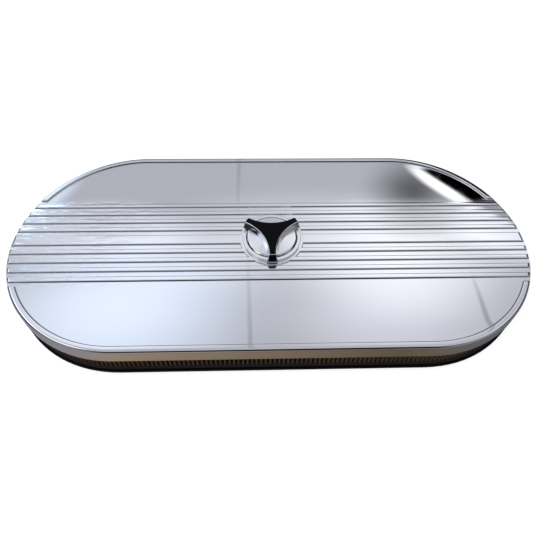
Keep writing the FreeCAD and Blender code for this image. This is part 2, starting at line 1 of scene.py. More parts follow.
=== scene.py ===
import math

import bmesh
import bpy
import numpy as np
from bpy.props import FloatProperty, FloatVectorProperty, IntProperty, PointerProperty
from mathutils import Matrix, Vector


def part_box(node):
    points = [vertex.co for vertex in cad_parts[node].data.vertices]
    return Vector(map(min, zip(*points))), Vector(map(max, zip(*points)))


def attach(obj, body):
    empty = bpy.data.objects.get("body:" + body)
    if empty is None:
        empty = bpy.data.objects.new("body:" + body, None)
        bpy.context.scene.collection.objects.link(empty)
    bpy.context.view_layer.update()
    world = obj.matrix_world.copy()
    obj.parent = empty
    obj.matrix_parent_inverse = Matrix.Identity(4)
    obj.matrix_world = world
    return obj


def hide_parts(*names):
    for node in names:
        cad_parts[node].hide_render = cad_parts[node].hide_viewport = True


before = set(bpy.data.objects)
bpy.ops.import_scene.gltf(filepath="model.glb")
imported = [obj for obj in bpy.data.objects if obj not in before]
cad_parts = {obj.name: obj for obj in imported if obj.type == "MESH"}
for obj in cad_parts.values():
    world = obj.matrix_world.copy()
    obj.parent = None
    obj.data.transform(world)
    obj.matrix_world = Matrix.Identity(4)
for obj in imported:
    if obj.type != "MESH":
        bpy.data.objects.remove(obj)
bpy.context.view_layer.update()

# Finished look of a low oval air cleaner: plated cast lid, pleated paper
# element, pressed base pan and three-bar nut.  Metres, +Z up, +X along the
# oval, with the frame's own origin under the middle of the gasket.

bl_info = {
    "name": "Oval Air Cleaner Finish",
    "version": (1, 0, 0),
    "blender": (4, 5, 0),
    "location": "View3D > Sidebar > Air Cleaner",
    "description": "Plated lid, pleated element, pan and three-bar nut of an oval air cleaner",
    "category": "Add Mesh",
}

MM = 0.001
QUARTER = math.pi / 2
THIRD_TURN = 2 * math.pi / 3
MERGE_WITHIN = 0.001 * MM

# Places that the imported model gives
LID_LOW, LID_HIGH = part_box("lid")
DISC_LOW, DISC_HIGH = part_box("nut_disc")
NUT_LOW, NUT_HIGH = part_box("wing_nut")
STUD_LOW, STUD_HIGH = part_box("center_stud")
PLEATS_LOW, PLEATS_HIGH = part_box("filter_pleats")

END_CENTRE = LID_HIGH.x - LID_HIGH.y
SKIRT_HALF = LID_HIGH.y
SKIRT_BOTTOM = LID_LOW.z
RIM_TOP = LID_HIGH.z
CAVITY_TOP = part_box("filter_top_seal")[1].z
RIB_TOP = DISC_LOW.z


def linear(hex_colour):
    """Linear red, green and blue of an sRGB hex colour such as #A0B1C2."""
    channels = [int(hex_colour[start:start + 2], 16) / 255 for start in (1, 3, 5)]
    return tuple(
        c / 12.92 if c <= 0.04045 else ((c + 0.055) / 1.055) ** 2.4 for c in channels)


def opaque(colour):
    """The colour with full alpha, as a socket wants it."""
    return (*colour, 1.0)


def in_mm(name, value, description):
    """A setting that is a length."""
    return FloatProperty(
        name=name, description=description, default=value * MM, unit="LENGTH")


def in_degrees(name, value, description):
    """A setting that is an angle."""
    return FloatProperty(
        name=name, description=description, default=math.radians(value), unit="ROTATION")


def in_hex(name, value, description):
    """A setting that is a colour."""
    return FloatVectorProperty(
        name=name, description=description, default=linear(value), subtype="COLOR")


class LidSizes(bpy.types.PropertyGroup):
    """Sizes of the cast lid."""

    plate: in_mm("Plate", 4.0, "From the lid's ceiling up to the panels as they look")
    wall: in_mm("Skirt Wall", 1.9, "Thickness of the skirt at its foot")
    draft: in_mm("Skirt Draft", 0.6, "How far the skirt leans in up to the rim")
    rim_width: in_mm("Rim Width", 4.8, "Rim from the skirt's line to the panel")
    rim_roll: in_mm("Rim Roll", 2.4, "Radius of the rim's outer edge")
    rim_inner: in_mm("Rim Inner Edge", 0.9, "Radius of the rim's inner edge")
    foot: in_mm("Foot Fillet", 0.3, "Radius where a wall rises from the plate")
    break_half: in_mm("Rim Break", 38.8, "Half the width of the break in the rim")
    break_roll: in_mm("Rim End Roll", 1.2, "Radius of the rim's rolled ends")
    band_edge: in_mm("Band Edge", 0.6, "Radius of the outline between the rim's ends")
    boss_radius: in_mm("Top Boss", 23.4, "Radius of the boss under the nut")
    lower_boss_radius: in_mm("Lower Boss", 11.0, "Radius of the boss inside")
    lower_boss_depth: in_mm("Lower Boss Depth", 3.0, "How far the inside boss hangs down")
    hole_radius: in_mm("Stud Hole", 3.6, "Radius of the hole for the stud")


class RibSizes(bpy.types.PropertyGroup):
    """Sizes of the lid's band of lengthwise ribs."""

    strip_width: in_mm("Strip Width", 8.8, "Width of the middle strip")
    rib_width: in_mm("Rib Width", 4.0, "Width of one rib")
    pitch: in_mm("Rib Pitch", 7.8, "From one rib's middle to the next")
    each_side: IntProperty(
        name="Ribs Each Side", description="Ribs on each side of the strip", default=4)
    edge: in_mm("Rib Edge", 0.88, "Radius of a rib's upper edges")
    end_inset: in_mm("End Inset", 0.5, "From the skirt's upper line to a rib's end")
    end_roll: in_mm("End Roll", 2.2, "Length over which a rib's end rolls down")


class ElementSizes(bpy.types.PropertyGroup):
    """Sizes of the pleated paper."""

    pitch: in_mm("Pleat Pitch", 3.0, "From one outer fold to the next")
    depth: in_mm("Pleat Depth", 17.0, "From the outer folds to the inner folds")
    paper: in_mm("Paper", 0.5, "Thickness of the paper as drawn")
    fold_radius: in_mm("Fold Radius", 0.5, "Radius of a fold at the paper's middle")


class NutSizes(bpy.types.PropertyGroup):
    """Sizes of the three-bar nut, its disc and the stud."""

    bar_reach: in_mm("Bar Reach", 21.3, "From the axis to a bar's upper end")
    bar_width: in_mm("Bar Width", 5.0, "Width of a bar's upper end")
    waist: in_mm("Waist", 7.9, "From the axis to a scoop between two bars")
    bar_height: in_mm("Bar Height", 6.6, "Height of the bars")
    bar_draft: in_degrees("Bar Draft", 13.0, "Lean of the bars' sides")
    bar_edge: in_mm("Bar Edge", 0.6, "Radius of the bars' upper edges")
    flange_radius: in_mm("Flange", 19.0, "Radius of the flange under the bars")
    flange_flat: in_mm("Flange Flat", 12.5, "Radius at which the flange starts to fall")
    flange_height: in_mm("Flange Height", 1.6, "Height of the flange above the disc")
    flange_edge: in_mm("Flange Edge", 0.15, "Height of the flange's upright edge")
    flange_bevel: in_mm("Flange Bevel", 1.3, "Width of the bevel down to the flange's edge")
    spigot: in_mm("Spigot", 5.6, "Radius of the spigot through the disc")
    swage: in_mm("Swage", 6.3, "Radius of the spigot's swaged end")
    swage_height: in_mm("Swage Height", 0.7, "Height of the swaged end")
    bore: in_mm("Bore", 4.4, "Radius of the bore for the threaded bush")
    bore_top_wall: in_mm("Top Wall", 1.3, "Metal left above the bore")
    enamel_margin: in_mm("Enamel Margin", 0.42, "Bright edge left round the enamel")
    disc_edge: in_mm("Disc Edge", 0.45, "Radius of the disc's upper edge")
    disc_recess: in_mm("Disc Recess", 10.6, "Radius of the recess for the washer")
    disc_recess_depth: in_mm("Recess Depth", 1.0, "Depth of the recess for the washer")
    disc_hole: in_mm("Disc Hole", 5.68, "Radius of the disc's hole")
    thread_pitch: in_mm("Thread Pitch", 1.27, "Pitch of the stud's thread")
    thread_core: in_mm("Thread Core", 2.65, "Radius at the bottom of the thread")
    shank: in_mm("Shank", 2.76, "Radius of the stud between its threads")
    end_thread: in_mm("End Thread", 9.0, "Length of the stud's lower thread")
    top_thread: in_mm("Top Thread", 10.0, "Length of the stud's upper thread")


class FinishColours(bpy.types.PropertyGroup):
    """Colours of the finishes."""

    chrome: in_hex("Chrome", "#E3E5E9", "Bright chromium plating")
    enamel: in_hex("Enamel", "#060608", "Gloss enamel in the nut's top")
    pan: in_hex("Pan", "#070708", "Satin black stoving enamel of the pan")
    paper: in_hex("Paper", "#6B543C", "Resin-treated filter paper")
    rubber: in_hex("Rubber", "#17171A", "Moulded rubber of the seals and the gasket")
    zinc: in_hex("Zinc", "#B9BEC2", "Zinc-plated steel of the stud and the screen")
    floor: in_hex("Floor", "#B5A188", "Pale floor that the metal reflects")


class CameraSettings(bpy.types.PropertyGroup):
    """Sizes and angles of the camera."""

    elevation: in_degrees("Camera Elevation", 52.0, "Angle of the camera above the horizon")
    azimuth: in_degrees("Camera Azimuth", -2.686, "Turn of the camera about the upright axis")
    roll: in_degrees("Camera Roll", 1.630, "Turn of the camera about its own axis")
    distance: in_mm("Camera Distance", 331.83, "From the middle of the lid's top to the camera")
    focal_pixels: FloatProperty(
        name="Focal Length", description="Focal length in pixels of the picture",
        default=446.96)
    picture_width: FloatProperty(
        name="Picture Width", description="Width of the picture in pixels", default=533.0)
    centre: FloatVectorProperty(
        name="Optical Centre", description="Pixel at which the camera's axis meets the picture",
        size=2, default=(271.63, 235.90))


def arc(centre, radius, start, end, steps):
    """Points of a circle's arc, from one angle in degrees to another."""
    angle = np.radians(np.linspace(start, end, steps + 1))
    return np.column_stack([
        centre[0] + radius * np.cos(angle), centre[1] + radius * np.sin(angle)])


def points_along(*stretches):
    """One profile from single points and runs of points."""
    return np.vstack([np.atleast_2d(np.asarray(s, float)) for s in stretches])


def net_faces(rows, columns, start=0, close_rows=False, close_columns=False):
    """Corner numbers of the faces of a grid, one between each four neighbours."""
    number = start + np.arange(rows * columns).reshape(rows, columns)
    if close_rows:
        number = np.vstack([number, number[:1]])
    if close_columns:
        number = np.hstack([number, number[:, :1]])
    corners = [number[:-1, :-1], number[1:, :-1], number[1:, 1:], number[:-1, 1:]]
    return np.stack(corners, axis=-1).reshape(-1, 4)


def make_piece(name, nets, sharp=35.0, weighted=True):
    """A mesh object from closed nets.

    Each net is (points, close_rows, close_columns), with points as a grid of
    rows by columns by three.  Where a net's points meet, as at a pole or a
    rolled end, they become one, and faces with no area are dropped.
    """
    points = []
    faces = []
    count = 0
    for grid, close_rows, close_columns in nets:
        rows, columns = grid.shape[:2]
        points.append(grid.reshape(-1, 3))
        faces.append(net_faces(rows, columns, count, close_rows, close_columns))
        count += rows * columns
    mesh = bpy.data.meshes.new(name)
    mesh.from_pydata(np.vstack(points).tolist(), [], np.vstack(faces).tolist())
    work = bmesh.new()
    work.from_mesh(mesh)
    bmesh.ops.remove_doubles(work, verts=work.verts, dist=MERGE_WITHIN)
    bmesh.ops.dissolve_degenerate(work, edges=work.edges, dist=MERGE_WITHIN)
    bmesh.ops.recalc_face_normals(work, faces=work.faces)
    work.to_mesh(mesh)
    work.free()
    mesh.shade_smooth()
    mesh.set_sharp_from_angle(angle=math.radians(sharp))
    piece = bpy.data.objects.new(name, mesh)
    bpy.context.scene.collection.objects.link(piece)
    if weighted:
        flatter = piece.modifiers.new("flat_faces_stay_flat", "WEIGHTED_NORMAL")
        flatter.keep_sharp = True
    return piece


def directions(angle):
    """Unit vectors (cos, sin) of angles, along a last axis of two."""
    return np.stack([np.cos(angle), np.sin(angle)], axis=-1)


def lifted(level, height):
    """The net of a grid of level points (x, y) and their heights."""
    height = np.broadcast_to(height, level.shape[:2])
    return np.concatenate([level, height[..., None]], axis=-1)


def turned(profile, bearings=None):
    """The net of a profile (radius, height) carried round the upright axis, to
    given bearings or to 96 even ones."""
    if bearings is None:
        bearings = np.linspace(0, 2 * math.pi, 96, endpoint=False)
    return lifted(profile[:, :1] * directions(bearings)[:, None], profile[:, 1])


def stacked(outlines, heights):
    """The net of level outlines, closed at both ends by a point on the axis."""
    net = lifted(outlines, heights[:, None])
    return np.concatenate([net[:1] * (0, 0, 1), net, net[-1:] * (0, 0, 1)])


def place(piece, body, slot, material, *nodes):
    """Give a finished piece its material, its body and its place in the frame."""
    piece.data.materials.append(material)
    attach(piece, body)
    if nodes:
        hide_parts(*nodes)


def add(tree, kind, inputs=None, **settings):
    """Add a node: settings are its own fields, inputs its values or their sources.

    A source is a socket, or a node that stands for its first output.
    """
    made = tree.nodes.new(kind)
    for field, setting in settings.items():
        setattr(made, field, setting)
    for socket, source in (inputs or {}).items():
        if isinstance(source, bpy.types.Node):
            source = source.outputs[0]
        if isinstance(source, bpy.types.NodeSocket):
            tree.links.new(source, made.inputs[socket])
        else:
            made.inputs[socket].default_value = source
    return made


def own_place(tree):
    """The point's place in the piece itself, so that patterns move with it."""
    return add(tree, "ShaderNodeTexCoord").outputs["Object"]


def grain(tree, size, detail, roughness=0.5):
    """Noise fixed to the piece, with its real grain size along x, y and z in mm."""
    scaled = add(tree, "ShaderNodeMapping", {
        "Vector": own_place(tree), "Scale": [1 / (axis * MM) for axis in size]})
    return add(tree, "ShaderNodeTexNoise", {
        "Vector": scaled, "Scale": 1.0, "Detail": detail,
        "Roughness": roughness}).outputs["Fac"]


def finish(draw):
    """The material named as the function that draws its shader, made only once."""
    name = draw.__name__
    if name not in bpy.data.materials:
        material = bpy.data.materials.new(name)
        material.use_nodes = True
        tree = material.node_tree
        tree.nodes.clear()
        add(tree, "ShaderNodeOutputMaterial", {
            "Surface": draw(tree, bpy.context.scene.air_cleaner_colours)})
    return bpy.data.materials[name]


def chromium_plate(tree, colours):
    """Bright chromium plate over buffed casting: near mirror, with the slow
    waviness that buffing leaves and a trace of fine haze."""
    # Buffing runs along the lid, so the waves are longer that way
    waves = grain(tree, (60, 25, 25), detail=1.0, roughness=0.4)
    wavy = add(tree, "ShaderNodeBump", {
        "Height": waves, "Strength": 1.0, "Distance": 0.02 * MM})
    # At one end the band was buffed by hand, which leaves short waves on the ribs
    strokes = grain(tree, (14, 3, 14), detail=2.0)
    spot = add(tree, "ShaderNodeSeparateXYZ", {0: own_place(tree)})
    near_end = add(tree, "ShaderNodeMapRange", {
        "Value": spot.outputs["X"], "From Min": -75 * MM, "From Max": -130 * MM})
    aside = add(tree, "ShaderNodeMath", {0: spot.outputs["Y"]}, operation="ABSOLUTE")
    in_band = add(tree, "ShaderNodeMapRange", {
        "Value": aside, "From Min": 39 * MM, "From Max": 38 * MM})
    where = add(tree, "ShaderNodeMath", {0: near_end, 1: in_band}, operation="MULTIPLY")
    buffed = add(tree, "ShaderNodeBump", {
        "Height": strokes, "Strength": where, "Distance": 0.12 * MM, "Normal": wavy})
    # Haze left by the polishing mop
    haze = add(tree, "ShaderNodeMapRange", {
        "Value": grain(tree, (8, 8, 8), detail=3.0), "From Min": 0.3, "From Max": 0.7,
        "To Min": 0.012, "To Max": 0.03})
    return add(tree, "ShaderNodeBsdfPrincipled", {
        "Base Color": opaque(colours.chrome), "Metallic": 1.0, "Roughness": haze,
        "Normal": buffed})


def gloss_black_enamel(tree, colours):
    """Gloss black enamel, run into the nut's top and levelled by itself."""
    skin = add(tree, "ShaderNodeBump", {
        "Height": grain(tree, (3, 3, 3), detail=1.0), "Strength": 1.0,
        "Distance": 0.01 * MM})
    return add(tree, "ShaderNodeBsdfPrincipled", {
        "Base Color": opaque(colours.enamel), "Roughness": 0.3, "IOR": 1.5,
        "Specular IOR Level": 0.07, "Normal": skin})


def stoved_black_enamel(tree, colours):
    """Satin black stoving enamel on pressed steel, with faint orange peel."""
    peel = grain(tree, (1.2, 1.2, 1.2), detail=2.0)
    skin = add(tree, "ShaderNodeBump", {
        "Height": peel, "Strength": 1.0, "Distance": 0.02 * MM})
    shine = add(tree, "ShaderNodeMapRange", {"Value": peel, "To Min": 0.32, "To Max": 0.48})
    return add(tree, "ShaderNodeBsdfPrincipled", {
        "Base Color": opaque(colours.pan), "Roughness": shine, "IOR": 1.5,
        "Specular IOR Level": 0.12, "Normal": skin})


def moulded_rubber(tree, colours):
    """Black moulded rubber, dull with a slight bloom and a fine mould grain."""
    skin = add(tree, "ShaderNodeBump", {
        "Height": grain(tree, (0.8, 0.8, 0.8), detail=3.0), "Strength": 1.0,
        "Distance": 0.03 * MM})
    tone = add(tree, "ShaderNodeMix", {
        "Factor": grain(tree, (15, 15, 15), detail=4.0), "A": opaque(colours.rubber),
        "B": opaque(linear("#26262A"))}, data_type="RGBA")
    return add(tree, "ShaderNodeBsdfPrincipled", {
        "Base Color": tone.outputs["Result"], "Roughness": 0.72, "IOR": 1.52,
        "Normal": skin})


def resin_treated_paper(tree, colours):
    """Resin-treated cellulose paper: matt, fibrous, a little darker in places
    where the resin lies thicker."""
    resin = add(tree, "ShaderNodeMix", {
        "Factor": grain(tree, (9, 9, 20), detail=4.0), "A": opaque(colours.paper),
        "B": opaque(linear("#4E3A26"))}, data_type="RGBA")
    # Fibres are about 0.03 mm thick; drawn at 0.3 mm so that they show
    fibre = grain(tree, (0.3, 0.3, 1.5), detail=3.0)
    shade = add(tree, "ShaderNodeMapRange", {"Value": fibre, "To Min": 0.7, "To Max": 1.15})
    tone = add(tree, "ShaderNodeVectorMath", {
        0: resin.outputs["Result"], "Scale": shade}, operation="SCALE")
    felt = add(tree, "ShaderNodeBump", {
        "Height": fibre, "Strength": 1.0, "Distance": 0.04 * MM})
    return add(tree, "ShaderNodeBsdfPrincipled", {
        "Base Color": tone, "Roughness": 0.85, "IOR": 1.45, "Normal": felt})


def zinc_plated_steel(tree, colours):
    """Bright zinc plate on steel: soft shine, faint cloudy spangle."""
    cloud = grain(tree, (2.5, 2.5, 2.5), detail=3.0)
    shine = add(tree, "ShaderNodeMapRange", {"Value": cloud, "To Min": 0.24, "To Max": 0.42})
    skin = add(tree, "ShaderNodeBump", {
        "Height": cloud, "Strength": 1.0, "Distance": 0.01 * MM})
    return add(tree, "ShaderNodeBsdfPrincipled", {
        "Base Color": opaque(colours.zinc), "Metallic": 1.0, "Roughness": shine,
        "Normal": skin})


def lid_stations(lid):
    """Stations round the oval: end centre, angle, |y|, its hold, and if the rim stands.

    A station holds its y at every half width where hold is 1, and its angle
    where hold is 0.  Across the break in the rim y is held, so the rim's
    ends are level planes; further round the hold fades out.
    """
    clear, fade_width = 1.5 * MM, 15 * MM
    reference = SKIRT_HALF - lid.draft
    fade_start = lid.break_half + lid.break_roll + clear
    fade_end = fade_start + fade_width
    # Half of one end, outwards from its middle
    inside = np.linspace(0, lid.break_half, 15)
    roll = lid.break_half + lid.break_roll * (1 - np.cos(np.linspace(0, QUARTER, 9)))
    fade = np.linspace(fade_start, fade_end, 8)
    beyond = reference * np.sin(
        np.linspace(math.asin(fade_end / reference), QUARTER, 21)[1:])
    reach = np.concatenate([inside, roll, fade, beyond])
    hold = np.clip((fade_end - reach) / (fade_end - fade_start), 0, 1)
    hold = hold * hold * (3 - 2 * hold)
    angle = np.arcsin(np.clip(reach / reference, 0, 1))
    raised = np.ones(len(reach))
    raised[:len(inside)] = 0

    straight = np.linspace(END_CENTRE, -END_CENTRE, 11)[1:-1]
    once = np.ones(len(straight))
    end = np.full(2 * len(reach) - 1, END_CENTRE)
    side = np.concatenate([-angle[:0:-1], angle])
    around = [
        np.concatenate([end, straight, -end, -straight]),
        np.concatenate([side, once * QUARTER, side + math.pi, once * 3 * QUARTER])]
    for at_end, on_side in ((reach, reference), (hold, 0), (raised, 1)):
        around.append(np.concatenate([at_end[:0:-1], at_end, once * on_side] * 2))
    return [values[:, None] for values in around]


def rim_profile(lid, plate_top):
    """Half width and height from under the plate, round the skirt's foot, up the
    skirt, over the rim and down to the panel."""
    inner = SKIRT_HALF - lid.wall
    panel = SKIRT_HALF - lid.draft - lid.rim_width
    flat_start = panel - 4 * MM
    lean = math.atan(lid.draft / (RIM_TOP - SKIRT_BOTTOM))
    lean_degrees = math.degrees(lean)
    foot_edge = 0.4 * MM
    roll_height = RIM_TOP - lid.rim_roll
    at_roll = SKIRT_HALF - (roll_height - SKIRT_BOTTOM) * math.tan(lean)
    roll_centre = at_roll - lid.rim_roll / math.cos(lean)
    up = np.linspace(SKIRT_BOTTOM + 2 * MM, plate_top - lid.band_edge, 4)
    skirt = np.column_stack([SKIRT_HALF - (up - SKIRT_BOTTOM) * math.tan(lean), up])
    return points_along(
        (flat_start, CAVITY_TOP),
        arc((inner - lid.foot, CAVITY_TOP - lid.foot), lid.foot, 90, 0, 4),
        arc((inner + foot_edge, SKIRT_BOTTOM + foot_edge), foot_edge, 180, 270, 4),
        arc((SKIRT_HALF - foot_edge, SKIRT_BOTTOM + foot_edge), foot_edge, 270,
            360 + lean_degrees, 5),
        skirt,
        arc((roll_centre, roll_height), lid.rim_roll, lean_degrees, 90, 14),
        arc((panel + lid.rim_inner, RIM_TOP - lid.rim_inner), lid.rim_inner, 90, 180, 7),
        arc((panel - lid.foot, plate_top + lid.foot), lid.foot, 0, -90, 5),
        (flat_start, plate_top))


def boss_profile(lid, plate_top):
    """Radius and height from the plate up the top boss, down the stud's hole and
    round the boss inside, to the plate's underside."""
    hole, hole_edge = lid.hole_radius, 0.3 * MM
    boss_edge = 0.35 * MM
    boss_foot = CAVITY_TOP - lid.lower_boss_depth
    return points_along(
        arc((lid.boss_radius + lid.foot, plate_top + lid.foot), lid.foot, 270, 180, 5),
        arc((lid.boss_radius - boss_edge, RIB_TOP - boss_edge), boss_edge, 0, 90, 5),
        (hole + hole_edge, RIB_TOP),
        (hole, RIB_TOP - hole_edge),
        (hole, boss_foot + hole_edge),
        (hole + hole_edge, boss_foot),
        arc((lid.lower_boss_radius - boss_edge, boss_foot + boss_edge), boss_edge, -90, 0, 4),
        arc((lid.lower_boss_radius + lid.foot, CAVITY_TOP - lid.foot), lid.foot, 180, 90, 4))


def lid_shell(lid):
    """The net of the lid's one wall, out over the rim and back underneath.

    A profile of half width w and height is carried round the oval: a point is
    its station's end centre plus w along the station's angle.  Where y is
    held, the sine of that angle is |y| over w.  Between the rim's ends, and
    over their rolls, the height is cut to a cap.  The bosses and the hole are
    circles at the stations' bearings.
    """
    centre, turn, distance, hold, raised = lid_stations(lid)
    plate_top = CAVITY_TOP + lid.plate
    w, z = rim_profile(lid, plate_top).T
    base = np.round(turn / math.pi) * math.pi
    held_turn = base + np.sign(turn - base) * np.arcsin(np.clip(distance / w, 0, 1))
    angle = hold * held_turn + (1 - hold) * turn
    x, y = centre + w * np.cos(angle), w * np.sin(angle)
    # In the break the plate's own edge is rounded, 0.4 mm outside the skirt's upper line
    outline = SKIRT_HALF - lid.draft + 0.4 * MM
    edge = np.clip(w - (outline - lid.band_edge), 0, lid.band_edge)
    lowered = plate_top - lid.band_edge + np.sqrt(lid.band_edge ** 2 - edge ** 2)
    share = np.clip((lid.break_half + lid.break_roll - distance) / lid.break_roll, 0, 1)
    rolled = RIM_TOP - lid.break_roll * (1 - np.sqrt(1 - share ** 2))
    cap = np.where(raised > 0, rolled, lowered)
    oval = np.stack([x, y, np.minimum(z, cap)], axis=-1)

    bosses = turned(boss_profile(lid, plate_top), np.arctan2(y[:, -1], x[:, -1]))
    share = np.linspace(0, 1, 5)[None, 1:-1, None]
    above = oval[:, -1:] * (1 - share) + bosses[:, :1] * share
    below = bosses[:, -1:] * (1 - share) + oval[:, :1] * share
    return np.concatenate([oval, above, bosses, below], axis=1)


def rib_bar(lid, ribs, middle, width):
    """The net of one lengthwise bar of the band.

    Its section rises from a small foot fillet to rounded upper edges.  Each
    end follows the oval: at half width w and height y across, a point's x is
    the end centre plus the root of w squared less y squared, and the height
    rolls down as w grows.
    """
    plate_top = CAVITY_TOP + lid.plate
    sunk = plate_top - 0.3 * MM
    # A hair under the boss's top, so that the two faces don't lie in one plane
    top = RIB_TOP - 0.02 * MM
    half = width / 2
    side = points_along(
        (half + lid.foot, sunk),
        arc((half + lid.foot, plate_top + lid.foot), lid.foot, 270, 180, 4),
        arc((half - ribs.edge, top - ribs.edge), ribs.edge, 0, 90, 7))
    section = np.vstack([side, side[::-1] * (-1, 1)])
    y = middle + section[:, 0]
    z = section[:, 1]
    outer = SKIRT_HALF - lid.draft - ribs.end_inset
    roll = np.radians(np.linspace(0, 90, 10))
    w = outer - ribs.end_roll * (1 - np.sin(roll))
    cap = top - (top - sunk) * (1 - np.cos(roll))
    reach = END_CENTRE + np.sqrt(w[:, None] ** 2 - y ** 2)
    height = np.minimum(z, cap[:, None])
    across = np.broadcast_to(y, reach.shape)
    right = np.stack([reach, across, height], axis=-1)
    left = np.stack([-reach, across, height], axis=-1)
    top_net = np.concatenate([left[::-1], right])
    under = top_net.copy()
    under[..., 2] = sunk
    return np.concatenate([top_net, under[:, ::-1]], axis=1)


class AIRCLEANER_OT_lid(bpy.types.Operator):
    """Build the plated lid with its rim, panels, ribs and bosses"""

    bl_idname = "aircleaner.lid"
    bl_label = "Cast Lid"

    def execute(self, context):
        lid = context.scene.air_cleaner_lid
        ribs = context.scene.air_cleaner_ribs
        nets = [(lid_shell(lid), True, True)]
        nets.append((rib_bar(lid, ribs, 0.0, ribs.strip_width), False, True))
        first = ribs.strip_width / 2 + ribs.pitch - ribs.rib_width / 2
        for number in range(ribs.each_side):
            for side in (-1, 1):
                middle = side * (first + number * ribs.pitch)
                nets.append((rib_bar(lid, ribs, middle, ribs.rib_width), False, True))
        piece = make_piece("cast_lid", nets)
        place(piece, "housing", "plated_lid", finish(chromium_plate), "lid")
        return {"FINISHED"}


def scoop_circle(nut):
    """Distance of a scoop's centre from the axis, and its radius."""
    half_end = math.asin(nut.bar_width / 2 / nut.bar_reach)
    corner_bearing = THIRD_TURN / 2 - half_end
    centre = ((nut.bar_reach ** 2 - nut.waist ** 2) / 2
              / (nut.bar_reach * math.cos(corner_bearing) - nut.waist))
    return centre, centre - nut.waist


def corner_bearings(nut, reach, scoop):
    """Angle between a scoop's middle and the corner where it meets a bar's end."""
    centre = scoop_circle(nut)[0]
    return np.arccos((reach ** 2 + centre ** 2 - scoop ** 2) / (2 * reach * centre))


def bar_outlines(nut, offsets, corners, arc_steps=18, end_steps=6, corner_steps=5):
    """Outlines of the three-bar blank, one for each outward offset.

    The outline is a circle of the bars' reach, cut by three scoop circles
    through the corners of the bars.  Offset outwards by d the reach grows by
    d and the scoops' radius shrinks by d.  A corner's rounding is drawn by
    taking the outline in by its radius and putting that back along the
    normals, which fan out at the corner.
    """
    offsets = np.asarray(offsets, float)[:, None]
    corners = np.asarray(corners, float)[:, None]
    scoop_centre, scoop_radius = scoop_circle(nut)
    reach = nut.bar_reach + offsets - corners
    scoop = scoop_radius - offsets + corners
    bearing = corner_bearings(nut, reach, scoop)
    spread = np.arcsin(reach * np.sin(bearing) / scoop)
    far_bearing = THIRD_TURN - bearing

    def fan(at, first, last):
        """A corner's points, all in one place, and their normals from first to last."""
        share = np.linspace(0, 1, corner_steps + 2)[1:-1]
        normal = directions(first + (last - first) * share)
        return np.broadcast_to(reach[..., None] * directions(at), normal.shape), normal

    # Bearings are from the middle of a scoop; the normal points out of the metal
    scoop_normal = directions(-spread * np.linspace(-1, 1, arc_steps + 1))
    end_normal = directions(
        bearing + (far_bearing - bearing) * np.linspace(0, 1, end_steps + 1))
    stretches = [
        ((scoop_centre, 0) - scoop[..., None] * scoop_normal, scoop_normal),
        fan(bearing, -spread, bearing),
        (reach[..., None] * end_normal, end_normal),
        fan(far_bearing, far_bearing, THIRD_TURN + spread)]
    points, normal = (np.concatenate(part, axis=1) for part in zip(*stretches))
    third = points + corners[..., None] * normal
    outline = []
    for number in range(3):
        c, s = directions(QUARTER + number * THIRD_TURN)
        outline.append(third @ np.array([[c, s], [-s, c]]))
    return np.concatenate(outline, axis=1)


def end_fills(nut, top):
    """Nets of the enamel on the bars' end faces, a thin skin inside a bright edge.

    At depth d the end face lies at the reach plus d times the tangent of the
    draft, and is as wide as the scoops leave it.
    """
    skin = 0.05 * MM
    side_edge = nut.enamel_margin + 0.25 * MM
    depth = np.linspace(nut.bar_edge + 0.15 * MM, nut.bar_height - 0.3 * MM, 6)
    offset = depth * math.tan(nut.bar_draft)
    reach = nut.bar_reach + offset
    half = THIRD_TURN / 2 - corner_bearings(nut, reach, scoop_circle(nut)[1] - offset)
    half = half - side_edge / reach
    # Rows down the face, with the first and the last one twice to fold the skin in
    twice = [0, *range(len(depth)), -1]
    proud = np.full(len(twice), skin)
    proud[[0, -1]] = -skin
    across = np.linspace(-1, 1, 9)
    spread = np.concatenate([across, across[::-1]]) * half[twice, None]
    radius = np.repeat(reach[twice, None] + np.column_stack([
        proud, np.full(len(twice), -skin)]), len(across), axis=1)
    nets = []
    for number in range(3):
        bearing = number * THIRD_TURN - QUARTER + spread
        level = radius[..., None] * directions(bearing)
        nets.append((lifted(level, (top - depth[twice])[:, None]), False, True))
    return nets


def bars_net(nut, top):
    """The net of the bars, down their drafted sides, in underneath them to the
    bore's line and up into the blind bore."""
    side_corner = 0.55 * MM
    roll = np.linspace(0, QUARTER - nut.bar_draft, 7)
    foot_depth = np.linspace(nut.bar_edge, nut.bar_height, 6)[1:]
    depth = np.concatenate([nut.bar_edge * (1 - np.cos(roll)), foot_depth])
    rounding = np.concatenate([nut.bar_edge * (np.sin(roll) - 1), foot_depth * 0])
    offsets = rounding + depth * math.tan(nut.bar_draft)
    # Over the rounded upper edge a bar's corners grow sharper, by 0.7 of the rounding
    outlines = bar_outlines(nut, offsets, side_corner + rounding * 0.7)
    bars = stacked(outlines, top - depth)
    foot = bars[-2]
    bore = foot[:, :2] * (nut.bore / np.hypot(foot[:, :1], foot[:, 1:2]))
    bore_top = top - nut.bore_top_wall
    inside = [
        np.column_stack([bore * share, np.full(len(bore), height)])
        for share, height in ((1, foot[0, 2]), (1, bore_top), (0, bore_top))]
    return np.stack([*bars[:-1], *inside])


